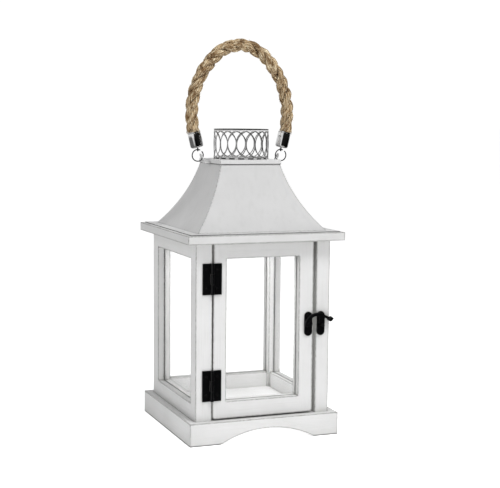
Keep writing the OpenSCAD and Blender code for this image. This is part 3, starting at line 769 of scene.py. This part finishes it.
def make_rope(material):
    """Three strands laid right-handed, each of yarns twisted the other way."""
    length = HALF_L + PLUG_L
    count, around = 460, 64
    bm = bmesh.new()
    uv = bm.loops.layers.uv.new("UVMap")
    groove = bm.verts.layers.float.new("groove")
    tone = bm.verts.layers.float.new("tone")
    draw = random.Random(11)
    for strand in range(STRANDS):
        tones = [draw.random() for _ in range(YARNS)]
        rings, run = [], 0.0
        last = None
        for i in range(count + 1):
            s = length * (2 * i / count - 1)
            centre, out, across = strand_frame(s, strand)
            if last is not None:
                run += (centre - last).length
            last = centre
            size = STRAND_R * squeeze(s) * (1 + 0.11 * wander(s, strand + 9, 90))
            ring = []
            for k in range(around):
                b = TAU * k / around - math.pi
                yarn_turn = b + TAU * run / YARN_PITCH + 0.25 * wander(run, strand + 20, 60)
                lobe = abs(math.cos(0.5 * YARNS * yarn_turn)) ** 0.6
                rough = 0.05 * noise.noise(Vector((run * 420, b * 2.2, strand * 5.0)))
                r = size * (1 - 0.2 * (1 - lobe) + rough)
                v = bm.verts.new(centre + r * (math.cos(b) * out + math.sin(b) * across))
                # painted shade: darker between the yarns and on the strand's side that faces the rope's
                # middle
                inner = 0.5 - 0.5 * math.cos(b)
                v[groove] = min(1.0, 0.75 * (1 - lobe) ** 1.5 + 0.9 * inner**3)
                which = int(math.floor(YARNS * yarn_turn / TAU + 0.5)) % YARNS
                uneven = 0.6 * noise.noise(Vector((run * 150, which * 3.1, strand)))
                v[tone] = min(1.0, max(0.0, 0.5 * tones[which] + 0.5 + uneven - 0.2))
                ring.append((v, yarn_turn))
            rings.append((ring, run))
        for (low, run_a), (high, run_b) in zip(rings, rings[1:]):
            for k in range(around):
                n = (k + 1) % around
                wrap = 1 if n == 0 else 0
                corners = (
                    (low[k], run_a, 0),
                    (low[n], run_a, wrap),
                    (high[n], run_b, wrap),
                    (high[k], run_b, 0),
                )
                face = bm.faces.new([v for (v, _), _, _ in corners])
                for loop, ((_, turn), along, turns) in zip(face.loops, corners):
                    loop[uv].uv = (turn / TAU + turns, along)
        close_ends(bm, [[v for v, _ in ring] for ring, _ in rings])
    mesh = finished(bm, "rope", 70.0)
    piece("rope", mesh, material, body_of("rope_handle"), ("rope_handle",))


def make_fuzz(material):
    """Loose fibres along the rope, some coarse ones, and frayed ends at the mouths of the ferrules."""
    draw = random.Random(23)
    bm = bmesh.new()

    def hair(s, strand, length, thick, lift, lean):
        """Fibre that starts on a strand, leaning along the rope by lean and away from it by lift."""
        centre, middle = strand_centre(s, strand)
        _, ahead, _ = rope_frame(s)
        out = (centre - middle).normalized()
        b = draw.uniform(-1.25, 1.25)
        across = ahead.cross(out)
        normal = (math.cos(b) * out + math.sin(b) * across).normalized()
        start = centre + normal * 0.0031 * squeeze(s)
        way = (ahead * lean + normal * lift + across * draw.uniform(-0.35, 0.35)).normalized()
        curl = Vector([draw.uniform(-1, 1) for _ in range(3)]) * 0.45
        points, radii, here = [start - way * 0.0004], [thick], start.copy()
        steps = 5
        for k in range(steps):
            points.append(here.copy())
            radii.append(thick * (1 - 0.75 * k / steps))
            here = here + way * (length / steps)
            way = (way + curl * 0.35 - normal * 0.05).normalized()
        tube_along(bm, points, radii, 4)

    def hairs(count, place, length, thick, lift, way=None):
        """Fibres with their measures drawn from ranges; way is the end they lean to, if it is set."""
        for _ in range(count):
            s = place()
            strand = draw.randrange(STRANDS)
            sizes = [draw.uniform(*limits) for limits in (length, thick, lift)]
            hair(s, strand, *sizes, draw.choice((-1, 1)) if way is None else way)

    def anywhere():
        return draw.uniform(-HALF_L, HALF_L)

    hairs(1300, anywhere, (0.002, 0.0055), (0.00005, 0.00010), (0.08, 0.6))
    hairs(90, anywhere, (0.003, 0.006), (0.00016, 0.0003), (0.05, 0.35))
    for way in (-1, 1):
        def at_mouth():
            return way * (HALF_L - draw.uniform(0.0008, 0.0035))

        hairs(46, at_mouth, (0.0025, 0.0055), (0.00014, 0.00030), (0.25, 0.5), way)
    piece("rope_fuzz", finished(bm, "rope_fuzz", 80.0), material, body_of("rope_handle"))


def make_ferrules(material):
    """Spun metal cups with a rolled lip and a domed foot."""
    edge, wall, lip, arc_steps = 0.0024, 0.0008, 0.0007, 8
    profile = [(0.0, -FERRULE_L)]
    for k in range(arc_steps + 1):
        a = math.pi / 2 * k / arc_steps
        profile.append((FERRULE_R - edge + edge * math.sin(a), -FERRULE_L + edge - edge * math.cos(a)))
    profile += [(FERRULE_R, -0.0060), (FERRULE_R, -0.0022), (FERRULE_R - 0.0002, -0.0018)]
    for k in range(arc_steps + 1):
        a = math.pi * (k / arc_steps - 0.5)
        profile.append((FERRULE_R - 0.0004 + 0.00045 * math.cos(a), lip * (math.sin(a) - 1)))
    bottom = -FERRULE_L + 0.003
    profile += [(FERRULE_R - wall, -0.0006), (FERRULE_R - wall, bottom), (0.0, bottom)]
    for way, name in ((-1, "ferrule_left"), (1, "ferrule_right")):
        point, ahead, out = rope_frame(way * HALF_L)
        axis = -ahead * way
        place = Matrix((out, axis.cross(out), axis)).transposed().to_4x4()
        place.translation = point
        bm = bmesh.new()
        lathe(bm, profile, 56, place)
        piece(name + "_cup", finished(bm, name + "_cup"), material, body_of(name), (name,))


# --------------------------------------------------------------- hardware
LEAF_T = 0.0012
HINGE_FEET = (0.043, 0.150)
HINGE_H = 0.031
PLATE_Z = 0.1156
BOW_MIDDLE = (0.0581, 0.1120)
BOW_R = 0.0133


def screw_head(bm, x, y, z, turn):
    """Domed head with a cross recess, facing -Y, its seat at y."""
    r, h, rings, sides = 0.0016, 0.0006, 12, 48
    recess, arm, reach = 0.00042, 0.00021, 0.00105
    upright = Matrix.Translation((x, y, z)) @ Matrix.Rotation(math.pi / 2, 4, "X")
    face = upright @ Matrix.Rotation(turn, 4, "Z")
    grid = [[bm.verts.new(face @ Vector((0, 0, h - recess)))]]
    for i in range(1, rings + 1):
        q = i / rings
        row = []
        for k in range(sides):
            t = TAU * k / sides
            px, py = r * q * math.cos(t), r * q * math.sin(t)
            top = h * math.sqrt(max(0.0, 1 - q * q * 0.92))
            if min(abs(px), abs(py)) < arm and max(abs(px), abs(py)) < reach:
                top -= recess * (1 - 0.6 * q)
            row.append(bm.verts.new(face @ Vector((px, py, top))))
        grid.append(row)
    grid.append(circle_at(bm, face, r, -0.0003, sides))
    skin(bm, grid)
    bm.faces.new(grid[-1])


def make_screws(material):
    """Cross-head screws of the hinges and the latch plates."""
    hinge_heights = [foot + HINGE_H * share for foot in HINGE_FEET for share in (0.2, 0.8)]
    plate_heights = [PLATE_Z + away for away in (-0.0088, 0.0088)]
    groups = (
        ("hinge_frame_screws", -0.06075, hinge_heights),
        ("hinge_door_screws", -0.04965, hinge_heights),
        ("catch_screws", 0.0624, plate_heights),
        ("latch_screws", 0.0486, plate_heights),
    )
    draw = random.Random(5)
    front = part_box("post_front_left")[0].y - LEAF_T
    for name, x, heights in groups:
        bm = bmesh.new()
        for z in heights:
            screw_head(bm, x, front, z, draw.uniform(0, math.pi / 2))
        mesh = finished(bm, name + "_fine", 30.0)
        piece(name + "_fine", mesh, material, body_of(name), (name,))


def make_latch_bow(material):
    """Rounded bow of the latch arm, from the eye over the catch to the knob, thinner to its end."""
    thick, thinned, taper_from = 0.00185, 0.00080, 0.60
    low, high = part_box("latch_arm")
    y = (low.y + high.y) / 2
    route = [(0.0476, 0.1140)]
    for k in range(19):
        a = math.radians(164 - 102 * k / 18)
        route.append((BOW_MIDDLE[0] + BOW_R * math.cos(a), BOW_MIDDLE[1] + BOW_R * math.sin(a)))
    route += [(0.0664, 0.1227), (0.0685, 0.1214), (0.0704, 0.1206), (0.0720, 0.1200)]
    last = len(route) - 1
    radii = []
    for i in range(last + 1):
        tapered = max(0.0, (i / last - taper_from) / (1 - taper_from))
        radii.append(thick - thinned * tapered)
    depth = (high.y - low.y) / 2

    def section(i, ahead):
        front = Vector((0, 1, 0))
        return ahead.cross(front).normalized(), front * depth / max(radii[i], 0.0012)

    bm = bmesh.new()
    tube_along(bm, [Vector((x, y, z)) for x, z in route], radii, 16, section)
    mesh = finished(bm, "latch_bow", 60.0)
    piece("latch_bow", mesh, material, body_of("latch_arm"))


def make_latch_knob(material):
    """Turned knob at the end of the arm, its axis along X, with a neck and a small tip."""
    round_r, round_h, arc_steps = 0.0028, 0.0026, 12
    low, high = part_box("latch_knob")
    middle = Matrix.Translation((low.x + round_r, (low.y + high.y) / 2, (low.z + high.z) / 2))
    profile = [(0.0, -0.0034), (0.0012, -0.0033), (0.0013, -0.0028)]
    for k in range(arc_steps + 1):
        a = math.radians(-62 + 118 * k / arc_steps)
        profile.append((round_r * math.cos(a), round_h * math.sin(a)))
    profile += [(0.0010, 0.0029), (0.0007, 0.0034), (0.0, 0.0036)]
    bm = bmesh.new()
    lathe(bm, profile, 32, middle @ Matrix.Rotation(math.pi / 2, 4, "Y"))
    mesh = finished(bm, "latch_knob_turned", 50.0)
    piece("latch_knob_turned", mesh, material, body_of("latch_knob"), ("latch_knob",))


# ------------------------------------------------------------------- stage
def make_stage():
    """Pale floor and soft lamps: one from the front right above, weak ones from the other sides."""
    reach = 30.0
    bm = bmesh.new()
    bm.faces.new([bm.verts.new((x * reach, y * reach, 0)) for x, y in ((-1, -1), (1, -1), (1, 1), (-1, 1))])
    mesh = bpy.data.meshes.new("studio_floor")
    bm.to_mesh(mesh)
    bm.free()
    mesh.materials.append(plain_floor())
    floor = bpy.data.objects.new("studio_floor", mesh)
    bpy.context.scene.collection.objects.link(floor)
    floor.visible_glossy = False
    lamp("key", (0.55, -1.15, 2.10), (0, 0, 0.16), 0.6, 24.0)
    lamp("left", (-1.5, -1.0, 1.3), (0, 0, 0.16), 0.6, 5.0)
    lamp("front", (-0.35, -1.9, 0.4), (0, 0, 0.10), 0.9, 2.0)
    lamp("top", (0.0, -0.5, 1.9), (0, 0, 0.2), 0.7, 5.0)
    lamp("chamber", (0.0, 0.0, 0.190), (0, 0.02, 0.05), 0.07, 0.15)


def lamp(name, place, target, size, power):
    """Square area lamp that lights the object but is not itself seen."""
    data = bpy.data.lights.new(name, "AREA")
    data.size = size
    data.energy = power
    obj = bpy.data.objects.new(name, data)
    obj.visible_camera = False
    obj.visible_transmission = False
    obj.visible_glossy = False
    obj.location = place
    obj.rotation_euler = (Vector(target) - Vector(place)).to_track_quat("-Z", "Y").to_euler()
    bpy.context.scene.collection.objects.link(obj)


def make_world():
    """White surroundings; gloss sees a darker wall on the right, as black card in a studio."""
    world = bpy.data.worlds.new("studio")
    bpy.context.scene.world = world
    world.use_nodes = True
    m = Tree(world.node_tree)
    path = m.add("LightPath")
    where = m.add("TexCoord").outputs["Generated"]

    def light(level):
        return m.add("Background", {"Color": grey(1.0), "Strength": level}).outputs[0]

    raised = m.math("ADD", m.dot(where, (0.0, 0.0, 0.5)), 0.5)
    card = m.ramp(m.dot(where, (0.63, -0.78, 0.0)), (0.22, 1.0), (0.34, 0.012))
    floor_side = m.ramp(raised, (0.38, 0.16), (0.49, 1.0))
    strip = m.ramp(m.dot(where, (-0.82, -0.57, 0.0)), (0.90, 0.0), (0.95, 1.0))
    level = m.math("MAXIMUM", m.times(card, floor_side), strip)
    gloss = m.add("Background", {"Color": level, "Strength": 0.85}).outputs[0]

    seen = m.blend(path.outputs["Is Glossy Ray"], light(0.29), gloss)
    for ray in ("Is Transmission Ray", "Is Camera Ray"):
        seen = m.blend(path.outputs[ray], seen, light(1.05))
    m.add("OutputWorld", {"Surface": seen})


# ------------------------------------------------------------------- build
make_camera()
make_stage()
make_world()
scene = bpy.context.scene
scene.view_settings.view_transform = "Standard"

wood = [painted_wood(axis) for axis in range(3)]
metal = painted_metal()
iron = black_iron()
steel = plated("steel", rgb(0.20, 0.20, 0.205), grey(0.10), 0.22, 0.4)
chrome = plated("chrome", grey(0.80), rgb(0.45, 0.44, 0.42), 0.05, 0.16)
# painted shade: grey metal for the lattice, whose thin painted bars show mostly their shaded side
lattice_shade_grey = plated("lattice_shade_metal", grey(0.62), grey(0.36), 0.35, 0.6)
# painted shade: near-black metal for the seam shadows and the rim's rolled wire
shade_metal = plated("shade_metal", grey(0.12), grey(0.06), 0.5, 0.7)
trim = painted_metal("painted_trim", 0.74, 0.0004)
glass = clear_glass()

AXIS_X, AXIS_Y, AXIS_Z = range(3)
GRAIN = {
    "plinth_front_board": AXIS_X, "plinth_back_board": AXIS_X,
    "plinth_left_board": AXIS_Y, "plinth_right_board": AXIS_Y,
    "post_front_left": AXIS_Z, "post_front_right": AXIS_Z,
    "post_rear_left": AXIS_Z, "post_rear_right": AXIS_Z,
    "door_sill": AXIS_X,
    "rail_left_bottom": AXIS_Y, "rail_left_top": AXIS_Y,
    "rail_right_bottom": AXIS_Y, "rail_right_top": AXIS_Y,
    "rail_back_bottom": AXIS_X, "rail_back_top": AXIS_X,
    "door_stile_left": AXIS_Z, "door_stile_right": AXIS_Z,
    "door_rail_bottom": AXIS_X, "door_rail_top": AXIS_X,
}
# Name, rounding of the edges, rounding of the frame's corners, and the beginnings of its boards' names
JOINTS = (
    ("plinth", 0.0007, 0.0, ("plinth",)),
    ("walls", 0.0005, 0.0, ("post", "rail", "door_sill")),
    ("door_frame", 0.0005, 0.0018, ("door_stile", "door_rail")),
)
for title, edge, corner, beginnings in JOINTS:
    joinery(title, [name for name in GRAIN if name.startswith(beginnings)], edge, corner)
soften("floor_board", wood[0], 0.0006)
soften("roof_board", painted_wood(0, "roof_board_wood", 0.72), 0.0006)
soften("roof_shell", metal, 0.00025)
for name in ("roof_collar", "ear_left", "ear_right", "roof_brads", "ear_rivets"):
    soften(name, trim, 0.0002)
for name in ("hinge_frame_leaves", "hinge_door_leaves", "catch_plate", "latch_plate"):
    soften(name, iron, 0.0002)
for name, radius in (("latch_arm", 0.0007), ("latch_pivot", 0.0002), ("hinge_pins", 0.00025)):
    soften(name, iron, radius, 3)
cover("catch_stud", iron)
for name in ("glass_left", "glass_right", "glass_back", "door_glass"):
    cover(name, glass)
for name in ("ring_left", "ring_right", "ferrule_eyes"):
    cover(name, steel)

make_lattice(lattice_shade_grey)
make_base_ring(trim, iron)
make_top_rim(trim, shade_metal)
make_seam_shadows(shade_metal)
make_rope(jute())
make_fuzz(jute_fuzz())
make_ferrules(chrome)
make_screws(iron)
make_latch_bow(iron)
make_latch_knob(iron)

bpy.context.view_layer.update()
